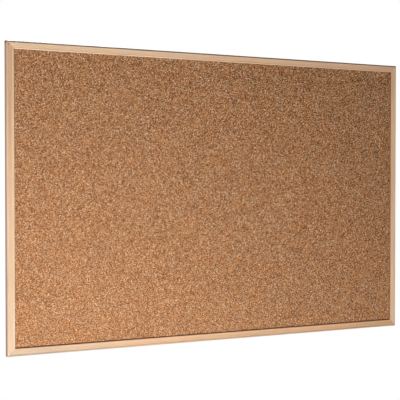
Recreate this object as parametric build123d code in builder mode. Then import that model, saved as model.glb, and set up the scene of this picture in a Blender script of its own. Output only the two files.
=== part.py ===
from build123d import *
import os
from math import cos, radians, sin

# Wood-framed cork bulletin board, hung on the wall by two hinged ring hangers.
# Millimetres. +X runs along the width, +Z is up and the cork faces -Y.
# The origin is the centre of the back panel's outer face. That face and the backs of the
# four rails lie in the plane Y = 0, and heights in the board are measured from it
# towards the cork.

# Board
board_width = 900.0
board_height = 600.0

# Rail moulding, as seen on a cut end
rail_width = 15.5
rail_height = 15.0            # back to the crest of the outer bead
shoulder_width = 2.8          # the outer edge falls away in a quarter of an ellipse
shoulder_depth = 5.0
outer_bead_width = 3.2
quirk_round = 0.4             # small round between the outer bead and the quirk beside it
plateau_height = 14.2         # at the quirk
plateau_fall = 0.3            # how much lower the plateau is at the inner bead
inner_bead_width = 3.5
inner_bead_crest = 14.6
inner_round = 1.8             # quarter round down to the sight edge
rebate_width = 4.5
rebate_height = 9.5           # the lip that holds the panel starts here

# Panel: hardboard back, fibreboard core and a cork facing glued to the core
panel_clearance = 0.5         # all round, in the rebate
back_thickness = 3.0
core_thickness = rebate_height - back_thickness
cork_thickness = 4.0
cork_gap_left = 0.2           # the facing is cut small and glued tight to the top left
cork_gap_right = 1.3
cork_gap_top = 0.2
cork_gap_bottom = 1.7

# V-nails, two across each mitre
v_nail_apexes = (3.4, 6.9)    # from both outer edges of the corner
v_nail_wing = 4.8
v_nail_sheet = 0.5
v_nail_bend = 0.6
v_nail_depth = 7.5            # driven flush with the backs of the rails

# Staples across the seam between the rails and the back panel
staple_crown = 8.0
staple_leg = 7.6
staple_thickness = 0.6
staple_width = 1.1
staple_bend = 0.65
staples_on_long_rail = 6
staples_on_short_rail = 4
staple_pitch = 145.0

# Ring hangers, one on the back of each side rail
hanger_inset = 7.0            # centre line of the strap, from the outer edge of the board
hinge_height = 180.0          # above the centre of the board
strap_sheet = 0.7
strap_width = 7.0
strap_length = 22.0           # below the hinge
eye_bore = 1.0                # radius, round the wire
eye_wrap = 60.0               # degrees that the strap turns in under the wire
ring_wire = 0.9               # radius
ring_half_width = 5.7         # to the centre of the wire
ring_side = 6.0               # hinge to the start of the ring's bow
ring_corner = 1.6
ring_lean = 5.0               # degrees off plumb: the ring rests on its own strap
screw_drop = 17.0             # below the hinge
screw_shank = 1.5             # radius
screw_clearance = 0.05
screw_length = 9.0
screw_tip = 2.5
screw_head = 2.8              # radius
screw_head_height = 1.7
screw_head_round = 1.0
recess_length = 3.2
recess_width = 0.8
recess_depth = 0.9

# Rubber bumpers at the foot of the board
bumper_radius = 4.6
bumper_height = 3.5
bumper_round = 1.0
bumper_inset = 5.4            # above the lower edge
bumper_from_side = 30.0

# Worked out from the sizes above
half_width = board_width / 2
half_height = board_height / 2
rail_back = rail_width - rebate_width
sight_half_width = half_width - rail_width
sight_half_height = half_height - rail_width
panel_width = board_width - 2 * (rail_back + panel_clearance)
panel_height = board_height - 2 * (rail_back + panel_clearance)
eye_outer = eye_bore + strap_sheet
hanger_x = half_width - hanger_inset
strap_thickness = 2 * strap_sheet


def plane_at(height):
    """The plane parallel to the board at this height, facing the same way as the cork."""
    return Plane(origin=(0, -height, 0), x_dir=(1, 0, 0), z_dir=(0, -1, 0))


def spread(count):
    """Places of a row of staples, centred on its rail."""
    return [(number - (count - 1) / 2) * staple_pitch for number in range(count)]


def staple_row(seats, across):
    """Staples at the given X and Z, with their crowns along `across`, flush with the back."""
    crown = -staple_thickness / 2
    tip = crown - staple_leg
    half = staple_crown / 2
    with BuildPart() as row:
        for x, z in seats:
            with BuildSketch(Plane(origin=(x, 0, z), x_dir=across, z_dir=across.cross(Vector(0, 1, 0)))):
                with BuildLine():
                    FilletPolyline((-half, tip), (-half, crown), (half, crown), (half, tip),
                                   radius=staple_bend)
                trace(line_width=staple_thickness)
            extrude(amount=staple_width / 2, both=True)
    return row


def v_nails(side, level):
    """The V-nails of one corner. Each wing runs along one rail, and the bend is on the mitre."""
    with BuildPart() as pair:
        for apex in v_nail_apexes:
            x = side * (half_width - apex)
            z = level * (half_height - apex)
            with BuildSketch(plane_at(0)):
                with BuildLine():
                    FilletPolyline((x - side * v_nail_wing, z), (x, z), (x, z - level * v_nail_wing),
                                   radius=v_nail_bend)
                trace(line_width=v_nail_sheet)
            extrude(amount=v_nail_depth)
    return pair


def screw_shank_and_point(side, growth):
    """A hanger screw below its head, grown all round where it is the hole for one."""
    x = side * hanger_x
    z = hinge_height - screw_drop
    radius = screw_shank + growth
    with BuildPart() as shank:
        with BuildSketch(Plane(origin=(x, 0, z), z_dir=(0, 0, 1))):
            with BuildLine():
                Polyline((0, strap_thickness), (radius, strap_thickness), (radius, screw_tip - screw_length),
                         (0, -screw_length - growth), close=True)
            make_face()
        revolve(axis=Axis((x, 0, z), (0, 1, 0)))
    return shank


def rail(start, along, inward, length, fasteners):
    """A rail, cut square at first, mitred at both ends and slotted for its fasteners.

    The moulding's local X runs inward from the outer edge, and its local Y towards the cork.
    """
    start, along, inward = Vector(start), Vector(along), Vector(inward)
    shoulder_foot = (0, rail_height - shoulder_depth)
    quirk = outer_bead_width + quirk_round
    bead_foot = (rail_width - inner_bead_width, plateau_height - plateau_fall)
    crest = (rail_width - inner_round, inner_bead_crest)
    sight_edge = (rail_width, inner_bead_crest - inner_round)
    with BuildPart() as piece:
        with BuildSketch(Plane(origin=start, x_dir=inward, z_dir=along)):
            with BuildLine():
                Polyline(shoulder_foot, (0, 0), (rail_back, 0), (rail_back, rebate_height),
                         (rail_width, rebate_height), sight_edge)
                EllipticalCenterArc((shoulder_width, rail_height - shoulder_depth), shoulder_width,
                                    shoulder_depth, start_angle=90, arc_size=90)
                Line((shoulder_width, rail_height), (outer_bead_width, rail_height))
                TangentArc((outer_bead_width, rail_height), (quirk, rail_height - quirk_round),
                           tangent=(1, 0))
                Polyline((quirk, rail_height - quirk_round), (quirk, plateau_height), bead_foot)
                TangentArc(crest, bead_foot, tangent=(-1, 0))
                TangentArc(crest, sight_edge, tangent=(1, 0))
            make_face()
        extrude(amount=length)
        split(bisect_by=Plane(origin=start, x_dir=(0, 1, 0), z_dir=along - inward))
        split(bisect_by=Plane(origin=start + along * length, x_dir=(0, 1, 0), z_dir=-along - inward))
        add([fastener.part for fastener in fasteners], mode=Mode.SUBTRACT)
    return piece


def panel_layer(height, thickness, fasteners):
    """A full layer of the panel, slotted for the staple legs that enter it."""
    with BuildPart() as layer:
        with BuildSketch(plane_at(height)):
            Rectangle(panel_width, panel_height)
        extrude(amount=thickness)
        add([fastener.part for fastener in fasteners], mode=Mode.SUBTRACT)
    return layer


def hanger_strap(side):
    """One strip folded over the ring's bar, with its two plies pressed together below."""
    section = Plane(origin=(side * hanger_x, 0, hinge_height), x_dir=(0, 1, 0), z_dir=(1, 0, 0))
    wrap = cos(radians(eye_wrap))
    neck_round = (eye_outer * (1 + wrap) - strap_thickness) / (1 - wrap)
    foot_centre = hinge_height - strap_length + strap_width / 2
    with BuildPart() as strap:
        with BuildSketch(section):
            with BuildLine():
                back = Line((0, -strap_length), (0, 0))
                eye = JernArc(back @ 1, back % 1, eye_outer, -180 - eye_wrap)
                neck = JernArc(eye @ 1, eye % 1, neck_round, eye_wrap)
                Polyline(neck @ 1, (strap_thickness, -strap_length), (0, -strap_length))
            make_face()
            with Locations((eye_outer, 0)):
                Circle(eye_bore, mode=Mode.SUBTRACT)
        extrude(amount=strap_width / 2, both=True)
        with BuildSketch(plane_at(-2 * eye_outer)):
            with Locations((side * hanger_x, foot_centre)):
                Circle(strap_width / 2)
                Rectangle(strap_width, hinge_height + eye_outer - foot_centre, align=(Align.CENTER, Align.MIN))
        extrude(amount=2 * eye_outer, mode=Mode.INTERSECT)
        with BuildSketch(plane_at(-strap_thickness)):
            with Locations((side * hanger_x, hinge_height - screw_drop)):
                Circle(screw_shank + screw_clearance)
        extrude(amount=strap_thickness, mode=Mode.SUBTRACT)
    return strap


def hanger_ring(side):
    """A wire D hanging from the strap's eye and leaning on the strap below it."""
    lean = radians(ring_lean)
    hinge = (side * hanger_x, eye_outer, hinge_height)
    side_run = ring_side - ring_corner
    with BuildPart() as ring:
        with BuildLine(Plane(origin=hinge, x_dir=(1, 0, 0), z_dir=(0, -cos(lean), -sin(lean)))) as loop:
            bar = Line((ring_corner - ring_half_width, 0), (ring_half_width - ring_corner, 0))
            near_corner = JernArc(bar @ 1, bar % 1, ring_corner, -90)
            near_side = PolarLine(near_corner @ 1, side_run, direction=near_corner % 1)
            bow = JernArc(near_side @ 1, near_side % 1, ring_half_width, -180)
            far_side = PolarLine(bow @ 1, side_run, direction=bow % 1)
            JernArc(far_side @ 1, far_side % 1, ring_corner, -90)
        with BuildSketch(Plane(origin=loop.wire() @ 0, z_dir=loop.wire() % 0)):
            Circle(ring_wire)
        sweep(path=loop.wire())
    return ring


def hanger_screw(side):
    """A pan-head screw with a cross recess."""
    centre = (side * hanger_x, hinge_height - screw_drop)
    with BuildPart() as screw:
        add(screw_shank_and_point(side, 0).part)
        with BuildSketch(plane_at(-strap_thickness)):
            with Locations(centre):
                Circle(screw_head)
        extrude(amount=-screw_head_height)
        fillet(screw.edges().group_by(Axis.Y)[-1], screw_head_round)
        with BuildSketch(plane_at(-strap_thickness - screw_head_height)):
            with Locations(centre):
                Rectangle(recess_length, recess_width)
                Rectangle(recess_width, recess_length)
        extrude(amount=recess_depth, mode=Mode.SUBTRACT)
    return screw


def bumper(side):
    """A rubber pad with a rounded rim, which holds the foot of the board off the wall."""
    with BuildPart() as pad:
        with BuildSketch(plane_at(0)):
            with Locations((side * (half_width - bumper_from_side), bumper_inset - half_height)):
                Circle(bumper_radius)
        extrude(amount=-bumper_height)
        fillet(pad.edges().group_by(Axis.Y)[-1], bumper_round)
    return pad


# Fasteners come first, because the wood is slotted with their shapes
up = Vector(0, 0, 1)
right = Vector(1, 0, 0)
long_row = spread(staples_on_long_rail)
short_row = spread(staples_on_short_rail)
seam_x = half_width - rail_back
seam_z = half_height - rail_back
staples_top = staple_row([(x, seam_z) for x in long_row], up)
staples_bottom = staple_row([(x, -seam_z) for x in long_row], up)
staples_left = staple_row([(-seam_x, z) for z in short_row], right)
staples_right = staple_row([(seam_x, z) for z in short_row], right)
all_staples = (staples_top, staples_bottom, staples_left, staples_right)

v_nails_top_left = v_nails(-1, 1)
v_nails_top_right = v_nails(1, 1)
v_nails_bottom_left = v_nails(-1, -1)
v_nails_bottom_right = v_nails(1, -1)

# Each rail runs clockwise round the board, seen from the back, so that the moulding faces -Y
top_rail = rail((half_width, 0, half_height), -right, -up, board_width,
                (v_nails_top_left, v_nails_top_right, staples_top))
bottom_rail = rail((-half_width, 0, -half_height), right, up, board_width,
                   (v_nails_bottom_left, v_nails_bottom_right, staples_bottom))
left_rail = rail((-half_width, 0, half_height), -up, right, board_height,
                 (v_nails_top_left, v_nails_bottom_left, staples_left,
                  screw_shank_and_point(-1, screw_clearance)))
right_rail = rail((half_width, 0, -half_height), up, -right, board_height,
                  (v_nails_top_right, v_nails_bottom_right, staples_right,
                   screw_shank_and_point(1, screw_clearance)))

back_panel = panel_layer(0, back_thickness, all_staples)
core_board = panel_layer(back_thickness, core_thickness, all_staples)

with BuildPart() as cork_sheet:
    with BuildSketch(plane_at(rebate_height)):
        with Locations((cork_gap_left - sight_half_width, cork_gap_bottom - sight_half_height)):
            Rectangle(2 * sight_half_width - cork_gap_left - cork_gap_right,
                      2 * sight_half_height - cork_gap_top - cork_gap_bottom,
                      align=(Align.MIN, Align.MIN))
    extrude(amount=cork_thickness)

pieces = {
    "top_rail": top_rail,
    "bottom_rail": bottom_rail,
    "left_rail": left_rail,
    "right_rail": right_rail,
    "back_panel": back_panel,
    "core_board": core_board,
    "cork_sheet": cork_sheet,
    "v_nails_top_left": v_nails_top_left,
    "v_nails_top_right": v_nails_top_right,
    "v_nails_bottom_left": v_nails_bottom_left,
    "v_nails_bottom_right": v_nails_bottom_right,
    "staples_top": staples_top,
    "staples_bottom": staples_bottom,
    "staples_left": staples_left,
    "staples_right": staples_right,
    "hanger_strap_left": hanger_strap(-1),
    "hanger_strap_right": hanger_strap(1),
    "hanger_ring_left": hanger_ring(-1),
    "hanger_ring_right": hanger_ring(1),
    "hanger_screw_left": hanger_screw(-1),
    "hanger_screw_right": hanger_screw(1),
    "bumper_left": bumper(-1),
    "bumper_right": bumper(1),
}

os.makedirs("parts", exist_ok=True)
for name, piece in pieces.items():
    piece.part.label = name
    export_step(piece.part, "parts/" + name + ".step")
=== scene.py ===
import math
import random

import bmesh
import bpy
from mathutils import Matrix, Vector, kdtree, noise


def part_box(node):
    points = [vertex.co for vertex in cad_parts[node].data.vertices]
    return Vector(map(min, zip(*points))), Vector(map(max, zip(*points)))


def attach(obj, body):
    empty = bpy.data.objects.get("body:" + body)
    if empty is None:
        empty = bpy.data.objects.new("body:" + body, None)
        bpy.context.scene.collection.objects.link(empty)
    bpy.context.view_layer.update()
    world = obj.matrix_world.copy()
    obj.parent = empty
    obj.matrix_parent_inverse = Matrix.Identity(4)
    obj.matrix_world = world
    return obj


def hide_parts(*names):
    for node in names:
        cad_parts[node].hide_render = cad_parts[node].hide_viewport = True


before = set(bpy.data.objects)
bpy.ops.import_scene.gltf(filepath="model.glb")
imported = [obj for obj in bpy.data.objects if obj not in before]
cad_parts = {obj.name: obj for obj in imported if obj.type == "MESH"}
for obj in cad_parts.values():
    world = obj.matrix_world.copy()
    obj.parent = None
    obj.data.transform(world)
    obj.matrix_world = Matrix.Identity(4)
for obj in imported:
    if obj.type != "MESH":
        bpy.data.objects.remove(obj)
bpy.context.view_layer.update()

MM = 0.001

# The board's own places, from the frame
LEFT, FRONT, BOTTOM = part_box("left_rail")[0]
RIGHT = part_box("right_rail")[1].x
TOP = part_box("top_rail")[1].z
RAIL_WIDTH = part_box("left_rail")[1].x - LEFT
CORK_LOW, CORK_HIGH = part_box("cork_sheet")

# Bands along a rail, in millimetres in from its outer edge: start, full, still full, end
OUTER_BEAD = (2.2, 2.9, 3.6, 4.3)
FLAT = (3.3, 4.0, 10.6, 11.8)
BEAD_FOOT = (11.4, 12.0, 13.0, 13.6)

# The camera stands to the left of the board, a little above its middle
CAMERA_PLACE = Vector((-0.8261, FRONT - 1.6884, 0.0315))
CAMERA_TARGET = Vector((-0.0484, FRONT, -0.0047))
CAMERA_LENS_MM = 80.60
CAMERA_SENSOR_MM = 36.0

# The stage
WORLD_FILL = 0.04             # strength of the even light on the board
FLOOR_DROP = 0.55             # below the board, out of the camera's view
FLOOR_RADIUS = 1.45


# ---------------------------------------------------------------- material tools

class Shader:
    """A material's node tree, written as nested calls.

    Its coordinates are millimetres in the row frame, so a noise or cell size is given as how many of
    them go in a millimetre.
    """

    def __init__(self, name):
        self.material = bpy.data.materials.new(name)
        self.material.use_nodes = True
        self.tree = self.material.node_tree
        self.tree.nodes.clear()
        self.surface = self.tree.nodes.new("ShaderNodeBsdfPrincipled")
        output = self.tree.nodes.new("ShaderNodeOutputMaterial")
        self.tree.links.new(self.surface.outputs["BSDF"], output.inputs["Surface"])
        place = self.tree.nodes.new("ShaderNodeTexCoord")
        self.mm = self.scaled(place.outputs["Object"], 1.0 / MM)
        self.x = self.axis(self.mm, "X")
        self.y = self.axis(self.mm, "Y")
        self.z = self.axis(self.mm, "Z")

    def put(self, socket, value):
        if isinstance(value, bpy.types.NodeSocket):
            self.tree.links.new(value, socket)
        else:
            socket.default_value = value

    def node(self, kind, settings, inputs, output):
        made = self.tree.nodes.new(kind)
        for key, value in settings.items():
            setattr(made, key, value)
        for key, value in inputs.items():
            self.put(made.inputs[key], value)
        return made.outputs[output]

    def math(self, operation, a, b=0.0, clamp=False):
        settings = {"operation": operation, "use_clamp": clamp}
        return self.node("ShaderNodeMath", settings, {0: a, 1: b}, 0)

    def times(self, a, b):
        return self.math("MULTIPLY", a, b)

    def total(self, *parts):
        """The sum of several values, each given with its weight."""
        weighed = [self.times(value, weight) for value, weight in parts]
        result = weighed[0]
        for part in weighed[1:]:
            result = self.math("ADD", result, part)
        return result

    def vector(self, operation, a, b):
        return self.node("ShaderNodeVectorMath", {"operation": operation}, {0: a, 1: b}, "Vector")

    def scaled(self, vector, factor):
        """A vector, or a colour, times a number that may go past 1."""
        inputs = {0: vector, "Scale": factor}
        return self.node("ShaderNodeVectorMath", {"operation": "SCALE"}, inputs, "Vector")

    def axis(self, vector, letter):
        return self.node("ShaderNodeSeparateXYZ", {}, {0: vector}, letter)

    def distance(self, place):
        """Millimetres from a place."""
        away = self.vector("SUBTRACT", self.mm, place)
        return self.node("ShaderNodeVectorMath", {"operation": "LENGTH"}, {0: away}, "Value")

    def noise(self, vector, per_mm, detail=3.0, roughness=0.55, output="Fac"):
        inputs = {"Vector": vector, "Scale": per_mm, "Detail": detail, "Roughness": roughness}
        return self.node("ShaderNodeTexNoise", {}, inputs, output)

    def wander(self, vector, per_mm, reach, detail=2.0):
        """A step in any direction, up to half of `reach` along each axis."""
        step = self.noise(vector, per_mm, detail, output="Color")
        return self.scaled(self.vector("SUBTRACT", step, (0.5, 0.5, 0.5)), reach)

    def cells(self, vector, per_mm, output="Color", feature="F1"):
        inputs = {"Vector": vector, "Scale": per_mm}
        return self.node("ShaderNodeTexVoronoi", {"feature": feature}, inputs, output)

    def range(self, value, low, high, new_low=0.0, new_high=1.0, smooth=False):
        """Takes low..high to new_low..new_high, and stays there beyond them. Low may be above high."""
        settings = {"interpolation_type": "SMOOTHSTEP" if smooth else "LINEAR", "clamp": True}
        inputs = {"Value": value, "From Min": low, "From Max": high, "To Min": new_low, "To Max": new_high}
        return self.node("ShaderNodeMapRange", settings, inputs, "Result")

    def band(self, value, start, full, still_full, end):
        """0 up to start, 1 from full to still_full, and 0 again from end."""
        return self.times(self.range(value, start, full), self.range(value, end, still_full))

    def ramp(self, value, stops):
        made = self.tree.nodes.new("ShaderNodeValToRGB")
        elements = made.color_ramp.elements
        while len(elements) < len(stops):
            elements.new(0.5)
        for element, (place, colour) in zip(elements, stops):
            element.position = place
            element.color = (*colour, 1.0)
        self.put(made.inputs["Fac"], value)
        return made.outputs["Color"]

    def mix(self, factor, a, b, blend="MIX"):
        made = self.tree.nodes.new("ShaderNodeMix")
        made.data_type = "RGBA"
        made.blend_type = blend
        self.put(made.inputs["Factor"], factor)
        self.put(made.inputs[6], a if isinstance(a, bpy.types.NodeSocket) else (*a, 1.0))
        self.put(made.inputs[7], b if isinstance(b, bpy.types.NodeSocket) else (*b, 1.0))
        return made.outputs[2]

    def tint(self, factor, colour, tint):
        """Multiplies the colour by a tint, as far as the factor says."""
        return self.mix(factor, colour, tint, "MULTIPLY")

    def bump(self, height, depth_mm, strength):
        inputs = {"Height": height, "Distance": depth_mm * MM, "Strength": strength}
        normal = self.node("ShaderNodeBump", {}, inputs, "Normal")
        self.put(self.surface.inputs["Normal"], normal)

    def finish(self, **inputs):
        """Sets the surface's own sockets, such as base_color or coat_weight."""
        for key, value in inputs.items():
            self.put(self.surface.inputs[key.replace("_", " ").title().replace("Ior", "IOR")], value)
        return self.material


# ---------------------------------------------------------------- materials

def cork_material():
    """Board cork: pressed granules of 1 to 3 mm in several tans, bark specks, and painted shade in the
    crevices between them.
    """
    granules_per_mm = 0.86
    fines_per_mm = 1.80
    grit_per_mm = 3.0
    large_pieces_per_mm = 0.60
    batches_per_mm = 0.045
    patches_per_mm = 0.012
    crevice_width = 0.10          # in granules
    bark_share = 0.07
    chip_share = 0.045
    share_edge = 0.005
    bark_brown = (0.060, 0.019, 0.005)
    fresh_cork = (0.930, 0.650, 0.445)
    faded_cork = (0.375, 0.172, 0.078)

    s = Shader("cork")
    place = s.vector("ADD", s.mm, s.wander(s.mm, 0.42, 1.3))
    place = s.vector("ADD", place, s.wander(s.mm, 1.7, 0.7))
    large = s.axis(s.cells(place, granules_per_mm), "X")
    small = s.axis(s.cells(place, fines_per_mm), "X")
    grit = s.noise(s.mm, grit_per_mm, 3.0, 0.6)
    value = s.total((large, 0.62), (small, 0.22), (grit, 0.16))
    colour = s.ramp(value, (
        (0.295, (0.122, 0.025, 0.001)),
        (0.385, (0.238, 0.077, 0.014)),
        (0.475, (0.360, 0.149, 0.052)),
        (0.565, (0.511, 0.259, 0.117)),
        (0.660, (0.770, 0.480, 0.286)),
    ))
    # Batches of granules that are cooler or warmer
    batch = s.noise(s.vector("ADD", s.mm, (90.0, 40.0, 10.0)), batches_per_mm, 1.0)
    hue = s.mix(s.range(batch, 0.35, 0.65), (0.960, 1.015, 1.065), (1.040, 0.985, 0.875))
    colour = s.tint(1.0, colour, hue)
    # Painted shade in the crevices between the granules
    seam = s.cells(place, granules_per_mm, "Distance", "DISTANCE_TO_EDGE")
    fine_seam = s.cells(place, fines_per_mm, "Distance", "DISTANCE_TO_EDGE")
    colour = s.tint(s.range(seam, crevice_width, 0.0, smooth=True), colour, (0.56, 0.46, 0.36))
    colour = s.tint(s.range(fine_seam, crevice_width, 0.0, smooth=True), colour, (0.82, 0.75, 0.68))
    # A few bigger pieces among the rest: dark bark and pale, freshly cut cork
    pieces = s.axis(s.cells(s.vector("ADD", place, (31.0, 7.0, 53.0)), large_pieces_per_mm), "Y")
    bark = s.range(pieces, bark_share + share_edge, bark_share - share_edge)
    chip = s.range(pieces, 1.0 - chip_share - share_edge, 1.0 - chip_share + share_edge)
    colour = s.mix(s.times(bark, 0.92), colour, bark_brown)
    colour = s.mix(s.times(chip, 0.80), colour, fresh_cork)
    # Broad patches that are a little darker
    patch = s.noise(s.mm, patches_per_mm, 1.0)
    colour = s.scaled(colour, s.range(patch, 0.3, 0.7, 0.925, 0.955))
    # The left and the foot of the board have faded a little, so their granules differ less
    faded_left = s.range(s.x, LEFT / MM, RIGHT / MM, 0.22, 0.0)
    faded_foot = s.range(s.z, BOTTOM / MM, TOP / MM, 0.18, 0.0)
    colour = s.mix(s.math("ADD", faded_left, faded_foot), colour, faded_cork)
    dome = s.range(seam, 0.0, 0.22)
    s.bump(s.total((dome, 1.0), (large, 0.7), (grit, 0.5), (bark, -0.4)), depth_mm=0.20, strength=0.6)
    roughness = s.range(value, 0.1, 0.9, 0.88, 0.70)
    return s.finish(base_color=colour, roughness=roughness, specular_ior_level=0.12)


def grain_scale(along, length, width):
    """How coordinates are scaled for grain that runs along X or Z."""
    return tuple(length if letter == along else width for letter in "XYZ")


def bare_wood(s, along, seed, warmth, painted_light_tints):
    """The wood before any wear. Returns its colour, its height for the bump, its tone for the gloss,
    and the streaks of its grain."""
    rings_per_mm = 0.22
    streaks_per_mm = 0.9
    fibres_per_mm = 5.5
    cut = Vector((61.0, 23.0, 37.0)) * seed
    moved = s.vector("ADD", s.mm, cut)
    grain = s.vector("MULTIPLY", moved, grain_scale(along, 0.02, 1.0))
    grain = s.vector("ADD", grain, s.wander(moved, 0.006, 3.0))
    rings = s.noise(grain, rings_per_mm, 3.0, 0.6)
    streaks = s.noise(grain, streaks_per_mm, 3.0, 0.6)
    fibres = s.noise(grain, fibres_per_mm, 3.0, 0.6)
    value = s.total((rings, 0.45), (streaks, 0.35), (fibres, 0.20))
    colour = s.ramp(value, (
        (0.30, (0.490, 0.305, 0.165)),
        (0.46, (0.585, 0.395, 0.235)),
        (0.58, (0.640, 0.455, 0.290)),
        (0.74, (0.690, 0.510, 0.345)),
    ))
    blush = s.range(s.noise(moved, 0.009, 2.0), 0.35, 0.65)
    colour = s.mix(s.times(blush, warmth), colour, (0.78, 0.47, 0.27))
    pore_place = s.vector("MULTIPLY", moved, grain_scale(along, 0.22, 4.2))
    pores = s.range(s.cells(pore_place, 0.55, "Distance"), 0.16, 0.06)
    colour = s.mix(s.times(pores, 0.22), colour, (0.42, 0.24, 0.13))
    # Painted light: each rail is made lighter or darker along its length, and by its own amount, to even
    # out how the lamps fall on it
    end = {"X": RIGHT, "Z": TOP}[along] / MM
    position = s.range(s.axis(s.mm, along), -end, end)
    colour = s.tint(1.0, colour, s.mix(position, *painted_light_tints))
    height = s.total((fibres, 0.6), (streaks, 0.4), (pores, -0.5))
    return colour, height, value, streaks


def wood_material(name, along, seed, warmth, painted_light_tints, arris_shade, arris_width=1.8, outer_face_shade=1.0,
                  heart_and_highlight=0.0, bead_foot_light=0.0, foot=0.0):
    """Pale, straight-grained moulding wood under satin lacquer, with painted light and shade on it.

    `along` is the letter of its grain, and `painted_light_tints` are painted light: its colour at the
    low and the high end of that axis, beside the common wood colour, lighter where the lamps light it
    less and darker where they light it more. `warmth` is how much blush it has. The outer arris has
    painted shade: `arris_shade` multiplies its colour, and `outer_face_shade` is how much of that goes
    on across the outer face, behind the moulded edge. `heart_and_highlight` is the strength of a dark
    streak on the flat and of a painted highlight on the outer bead, and `bead_foot_light` that of
    painted light beside the inner bead. `foot` is how far the painted shade in the corner beside the
    cork reaches up the sight edge, in millimetres above the cork.
    """
    s = Shader(name)
    colour, height, value, streaks = bare_wood(s, along, seed, warmth, painted_light_tints)
    across = s.math("SUBTRACT", RIGHT / MM, s.math("ABSOLUTE", s.x))
    upward = s.math("SUBTRACT", TOP / MM, s.math("ABSOLUTE", s.z))
    inward = s.math("MINIMUM", across, upward)

    # A streak of heartwood down the flat of the moulding, and a painted highlight on the outer bead where
    # the streak fades
    if heart_and_highlight:
        fade_low, fade_high = -80.0, 260.0
        reach = s.range(s.z, fade_low, fade_high, 0.25, 1.0, smooth=True)
        streak_and_bead_light = s.times(s.times(s.band(inward, *FLAT), reach), heart_and_highlight)
        colour = s.tint(streak_and_bead_light, colour, (1.0, 0.72, 0.53))
        bead_highlight = s.times(s.band(inward, *OUTER_BEAD), s.math("SUBTRACT", 1.0, reach))
        colour = s.tint(bead_highlight, colour, (1.20, 1.26, 1.32))
    # Painted light along the foot of the inner bead, on the upward-facing flank that the key light misses
    if bead_foot_light:
        streak_and_bead_light = s.times(s.band(inward, *BEAD_FOOT), bead_foot_light)
        colour = s.tint(streak_and_bead_light, colour, (1.22, 1.22, 1.24))
    # A hairline of glue and shadow where the mitred ends meet
    hairline, hairline_edge = 0.10, 0.34
    off_mitre = s.math("ABSOLUTE", s.math("SUBTRACT", across, upward))
    colour = s.scaled(colour, s.range(off_mitre, hairline, hairline_edge, 0.55, 1.0, smooth=True))
    # Painted shade along the outer arris, narrower at the left of the board
    narrowing = s.range(s.x, LEFT / MM, RIGHT / MM, -0.8, -0.5)
    off_arris = s.math("ADD", s.total((inward, 1.0), (streaks, 0.5)), narrowing)
    arris_edge = arris_width + 1.6
    shaded_arris = s.range(off_arris, arris_width, arris_edge, 1.0, 0.0, smooth=True)
    shaded_arris = s.times(shaded_arris, s.range(s.y, -11.5, -8.5, 1.0, outer_face_shade, smooth=True))
    colour = s.tint(shaded_arris, colour, arris_shade)
    # Painted shade at the foot of the sight edge, in the corner beside the cork
    sight_edge = RAIL_WIDTH / MM
    inside = s.range(inward, sight_edge - 1.4, sight_edge - 1.2)
    shade_top = CORK_LOW.y / MM - foot
    gap_shade = s.times(inside, s.range(s.y, shade_top - 0.1, shade_top + 0.4))
    colour = s.tint(gap_shade, colour, (0.42, 0.26, 0.13))
    # A painted shadow in the inside corner beside the top left mitre
    shadow_radius, shadow_core = 2.8, 0.8
    off_shadow = s.distance((LEFT / MM + 4.4, FRONT / MM, TOP / MM - 7.0))
    corner_shadow = s.times(s.range(off_shadow, shadow_radius, shadow_core, smooth=True), 0.75)
    colour = s.mix(corner_shadow, colour, (0.20, 0.12, 0.05))
    # Painted shade on the rounded tips of the two top corners and of the lower right one
    tip_shade = s.range(s.math("ADD", across, upward), 3.0, 6.5, 1.0, 0.0, smooth=True)
    lower_left = s.times(s.range(s.x, 10.0, -10.0), s.range(s.z, 10.0, -10.0))
    tip_shade = s.times(tip_shade, s.math("SUBTRACT", 0.80, lower_left, clamp=True))
    colour = s.tint(tip_shade, colour, (0.22, 0.21, 0.21))
    # Painted shade towards the lower left corner, to even out the key light that falls strongest there
    shade_reach = 380.0
    from_corner = s.distance((LEFT / MM, FRONT / MM, BOTTOM / MM))
    key_side_shade = s.range(from_corner, shade_reach, 0.0, smooth=True)
    colour = s.tint(key_side_shade, colour, (0.84, 0.89, 0.92))

    s.bump(height, depth_mm=0.05, strength=0.55)
    roughness = s.range(value, 0.3, 0.7, 0.50, 0.40)
    return s.finish(base_color=colour, roughness=roughness, coat_weight=0.12, coat_roughness=0.30)


def hardboard_material():
    """Hardboard, screen side out: brown pressed fibre with a fine embossed mesh."""
    mesh_pitch = 1.4
    s = Shader("hardboard")
    fibre = s.noise(s.mm, 0.8, 5.0, 0.65)
    clump = s.noise(s.mm, 0.05, 4.0, 0.55)
    colour = s.ramp(s.total((fibre, 0.75), (clump, 0.25)), (
        (0.30, (0.095, 0.043, 0.019)),
        (0.50, (0.170, 0.086, 0.040)),
        (0.70, (0.270, 0.150, 0.075)),
    ))
    wave_x, wave_z = [s.math("SINE", s.times(axis, 2.0 * math.pi / mesh_pitch)) for axis in (s.x, s.z)]
    mesh = s.times(wave_x, wave_z)
    colour = s.scaled(colour, s.range(mesh, -1.0, 1.0, 0.90, 1.06))
    fleck_place = s.vector("MULTIPLY", s.mm, (1.0, 1.0, 0.35))
    flecks = s.range(s.cells(fleck_place, 0.35, "Distance"), 0.12, 0.05)
    colour = s.mix(s.times(flecks, 0.5), colour, (0.48, 0.32, 0.18))
    s.bump(s.total((mesh, 0.35), (fibre, 1.0)), depth_mm=0.12, strength=0.7)
    return s.finish(base_color=colour, roughness=s.range(fibre, 0.3, 0.7, 0.62, 0.80))


def fibreboard_material():
    """Soft fibreboard, seen only in the gap beside the cork."""
    s = Shader("fibreboard")
    fibre = s.noise(s.mm, 1.1, 5.0, 0.7)
    colour = s.ramp(fibre, ((0.3, (0.150, 0.052, 0.018)), (0.7, (0.360, 0.150, 0.062))))
    s.bump(fibre, depth_mm=0.3, strength=0.8)
    return s.finish(base_color=colour, roughness=s.range(fibre, 0.3, 0.7, 0.95, 0.85))


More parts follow.
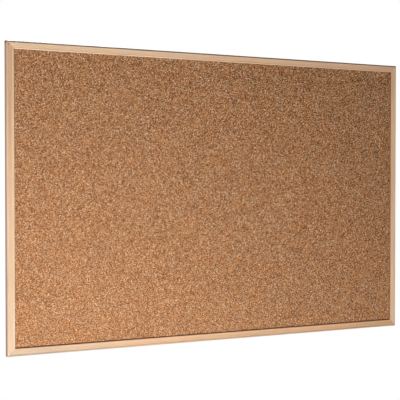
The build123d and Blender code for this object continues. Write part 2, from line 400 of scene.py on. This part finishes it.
def metal_material(name, colour, roughness, grain_mm, wear):
    """Plated or drawn steel: fine scratches, a slightly clouded plate and duller patches."""
    s = Shader(name)
    drawn = s.vector("MULTIPLY", s.mm, (1.0, 1.0, 0.08))
    scratches = s.noise(drawn, 1.0 / grain_mm, 3.0, 0.6)
    clouds = s.noise(s.mm, 0.5, 4.0, 0.6)
    plate = s.range(clouds, 0.3, 0.7, 1.0 - wear, 1.0)
    base = s.scaled(colour, s.times(plate, s.range(scratches, 0.3, 0.7, 0.92, 1.04)))
    s.bump(scratches, depth_mm=0.02, strength=0.5)
    rough = s.range(clouds, 0.3, 0.7, roughness, roughness + 0.12)
    return s.finish(base_color=base, metallic=1.0, roughness=rough)


def rubber_material():
    """Moulded rubber with a fine matte skin and a little dust."""
    s = Shader("bumper_rubber")
    skin = s.noise(s.mm, 4.0, 4.0, 0.6)
    dust = s.noise(s.mm, 0.6, 3.0, 0.6)
    colour = s.mix(s.range(dust, 0.45, 0.75, 0.0, 0.35), (0.028, 0.027, 0.026), (0.12, 0.11, 0.10))
    s.bump(skin, depth_mm=0.04, strength=0.6)
    return s.finish(base_color=colour, roughness=s.range(dust, 0.3, 0.7, 0.62, 0.82))


def dress(material, *nodes):
    """Gives CAD nodes a material in their own slots."""
    for name in nodes:
        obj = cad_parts[name]
        if not obj.material_slots:
            obj.data.materials.append(material)
        for material_slot in obj.material_slots:
            material_slot.material = material


# ---------------------------------------------------------------- the cork facing

def cork_mesh(pitch=2.3 * MM, granule=3.2 * MM, relief=0.12 * MM, edge_crumble=0.35 * MM):
    """The facing as a closed relief: granules stand at slightly different heights, and the cut edge is
    a little ragged, as a knife leaves it."""
    crumbs_per_metre = 260.0
    grit_per_metre = 900.0
    rng = random.Random(11)
    width = CORK_HIGH.x - CORK_LOW.x
    height = CORK_HIGH.z - CORK_LOW.z
    columns = round(width / pitch)
    rows = round(height / pitch)
    seeds_across = round(width / granule)
    seeds_up = round(height / granule)
    tree = kdtree.KDTree(seeds_across * seeds_up)
    lifts = []
    for i in range(seeds_across):
        for j in range(seeds_up):
            x = CORK_LOW.x + (i + rng.random()) * width / seeds_across
            z = CORK_LOW.z + (j + rng.random()) * height / seeds_up
            tree.insert((x, 0.0, z), len(lifts))
            lifts.append(rng.uniform(-1.0, 0.6))
    tree.balance()

    def ragged(along, salt):
        return edge_crumble * max(0.0, noise.noise(Vector((along * crumbs_per_metre, salt, 0.0))) + 0.25)

    verts = []
    for i in range(columns + 1):
        for j in range(rows + 1):
            x = CORK_LOW.x + width * i / columns
            z = CORK_LOW.z + height * j / rows
            lift = lifts[tree.find((x, 0.0, z))[1]]
            fine = noise.noise(Vector((x * grit_per_metre, 0.0, z * grit_per_metre)))
            depth = 0.63 - 0.42 * lift - 0.21 * fine
            y = CORK_LOW.y + relief * depth
            if i == 0:
                x += ragged(z, 1.0)
            if i == columns:
                x -= ragged(z, 2.0)
            if j == 0:
                z += ragged(x, 3.0)
            if j == rows:
                z -= ragged(x, 4.0)
            verts.append((x, y, z))

    def index(i, j):
        return i * (rows + 1) + j

    faces = []
    for i in range(columns):
        for j in range(rows):
            faces.append((index(i, j), index(i + 1, j), index(i + 1, j + 1), index(i, j + 1)))
    rim = [index(i, 0) for i in range(columns)]
    rim += [index(columns, j) for j in range(rows)]
    rim += [index(i, rows) for i in range(columns, 0, -1)]
    rim += [index(0, j) for j in range(rows, 0, -1)]
    first_back = len(verts)
    for corner in rim:
        x, _, z = verts[corner]
        verts.append((x, CORK_HIGH.y, z))
    for k in range(len(rim)):
        after = (k + 1) % len(rim)
        faces.append((rim[after], rim[k], first_back + k, first_back + after))
    faces.append([first_back + k for k in range(len(rim))][::-1])
    mesh = bpy.data.meshes.new("cork_facing")
    mesh.from_pydata(verts, [], faces)
    mesh.validate()
    return mesh


def make_cork(material):
    cork = bpy.data.objects.new("cork_facing", cork_mesh())
    bpy.context.scene.collection.objects.link(cork)
    cork.data.materials.append(material)
    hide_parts("cork_sheet")
    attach(cork, "board")


# ---------------------------------------------------------------- the stage

def aim(obj, place, target):
    """Puts a light or the camera at a place and turns it to the target."""
    obj.location = place
    obj.rotation_euler = (Vector(target) - Vector(place)).to_track_quat("-Z", "Y").to_euler()
    bpy.context.scene.collection.objects.link(obj)


def area_light(name, place, target, size, watts, colour=(1.0, 1.0, 1.0)):
    data = bpy.data.lights.new(name, "AREA")
    data.shape = "DISK"
    data.size = size
    data.energy = watts
    data.color = colour
    aim(bpy.data.objects.new(name, data), place, target)


def make_camera():
    data = bpy.data.cameras.new("camera")
    data.lens = CAMERA_LENS_MM
    data.sensor_width = CAMERA_SENSOR_MM
    camera = bpy.data.objects.new("camera", data)
    aim(camera, CAMERA_PLACE, CAMERA_TARGET)
    bpy.context.scene.camera = camera


def make_world():
    """A white studio sweep for the camera and a dim, even fill for the board."""
    world = bpy.data.worlds.new("studio")
    world.use_nodes = True
    tree = world.node_tree
    tree.nodes.clear()

    def background(colour, strength):
        made = tree.nodes.new("ShaderNodeBackground")
        made.inputs["Color"].default_value = (*colour, 1.0)
        made.inputs["Strength"].default_value = strength
        return made.outputs["Background"]

    ray = tree.nodes.new("ShaderNodeLightPath")
    pick = tree.nodes.new("ShaderNodeMixShader")
    output = tree.nodes.new("ShaderNodeOutputWorld")
    tree.links.new(ray.outputs["Is Camera Ray"], pick.inputs["Fac"])
    tree.links.new(background((1.0, 0.99, 0.97), WORLD_FILL), pick.inputs[1])
    tree.links.new(background((1.0, 1.0, 1.0), 1.0), pick.inputs[2])
    tree.links.new(pick.outputs["Shader"], output.inputs["Surface"])
    bpy.context.scene.world = world


def make_floor():
    """A pale round of floor, far enough below the board to stay out of the camera's view."""
    s = Shader("floor")
    speckle = s.noise(s.mm, 0.02, 3.0)
    colour = s.ramp(speckle, ((0.3, (0.86, 0.86, 0.85)), (0.7, (0.90, 0.90, 0.89))))
    mesh = bpy.data.meshes.new("floor")
    shape = bmesh.new()
    bmesh.ops.create_circle(shape, cap_ends=True, segments=128, radius=FLOOR_RADIUS)
    shape.to_mesh(mesh)
    shape.free()
    mesh.materials.append(s.finish(base_color=colour, roughness=0.85))
    floor = bpy.data.objects.new("floor", mesh)
    floor.location = (0.0, 0.0, BOTTOM - FLOOR_DROP)
    bpy.context.scene.collection.objects.link(floor)


# ---------------------------------------------------------------- making

# Each rail is its own length of the same wood, with its own painted light and shade: tints that make up
# for how the lamps fall along it and from rail to rail, and its own painted shade on the arris
RAIL_WOOD = {
    "top": dict(along="X", seed=1.0, warmth=0.20, painted_light_tints=((1.18, 1.23, 1.34), (1.12, 1.06, 1.12)),
                arris_shade=(0.38, 0.375, 0.37), arris_width=2.4, outer_face_shade=0.25, bead_foot_light=1.0),
    "bottom": dict(along="X", seed=2.0, warmth=0.30, painted_light_tints=((0.89, 0.87, 0.90), (0.94, 0.83, 0.76)),
                   arris_shade=(0.66, 0.75, 0.86)),
    "left": dict(along="Z", seed=3.0, warmth=0.30, painted_light_tints=((0.98, 0.99, 1.05), (0.98, 0.99, 1.05)),
                 arris_shade=(0.90, 0.86, 0.92), heart_and_highlight=0.50),
    "right": dict(along="Z", seed=4.0, warmth=0.30, painted_light_tints=((1.08, 1.10, 1.17), (1.23, 1.20, 1.25)),
                  arris_shade=(0.70, 0.78, 0.86), arris_width=3.0, foot=1.0),
}

make_camera()
make_world()
make_floor()
area_light("key", (-0.56, FRONT - 1.30, -0.63), (0.0, FRONT, 0.0), 0.45, 25.2, (1.0, 0.985, 0.96))
area_light("side_fill", (-1.95, -0.30, 0.05), (LEFT, FRONT, 0.0), 0.9, 15.0)
area_light("back_fill", (0.5, 2.3, 1.1), (0.0, 0.0, -0.1), 2.0, 46.0)
area_light("top_fill", (0.0, 1.9, 1.7), (0.0, 0.0, TOP), 1.2, 45.0)
area_light("right_fill", (2.0, 1.7, 0.2), (RIGHT, 0.0, 0.0), 1.2, 30.0)

make_cork(cork_material())
for side, wood in RAIL_WOOD.items():
    dress(wood_material("wood_" + side, **wood), side + "_rail")
dress(hardboard_material(), "back_panel")
dress(fibreboard_material(), "core_board")
dress(metal_material("v_nail_steel", (0.42, 0.42, 0.42), roughness=0.38, grain_mm=0.25, wear=0.25),
      "v_nails_top_left", "v_nails_top_right", "v_nails_bottom_left", "v_nails_bottom_right")
dress(metal_material("staple_wire", (0.62, 0.61, 0.58), roughness=0.30, grain_mm=0.20, wear=0.12),
      "staples_top", "staples_bottom", "staples_left", "staples_right")
dress(metal_material("hanger_plate", (0.66, 0.67, 0.70), roughness=0.28, grain_mm=0.30, wear=0.12),
      "hanger_strap_left", "hanger_strap_right")
dress(metal_material("ring_wire", (0.70, 0.71, 0.73), roughness=0.20, grain_mm=0.18, wear=0.08),
      "hanger_ring_left", "hanger_ring_right")
dress(metal_material("screw_steel", (0.66, 0.66, 0.68), roughness=0.25, grain_mm=0.15, wear=0.10),
      "hanger_screw_left", "hanger_screw_right")
dress(rubber_material(), "bumper_left", "bumper_right")

bpy.context.scene.view_settings.view_transform = "Standard"
bpy.context.scene.view_settings.look = "None"
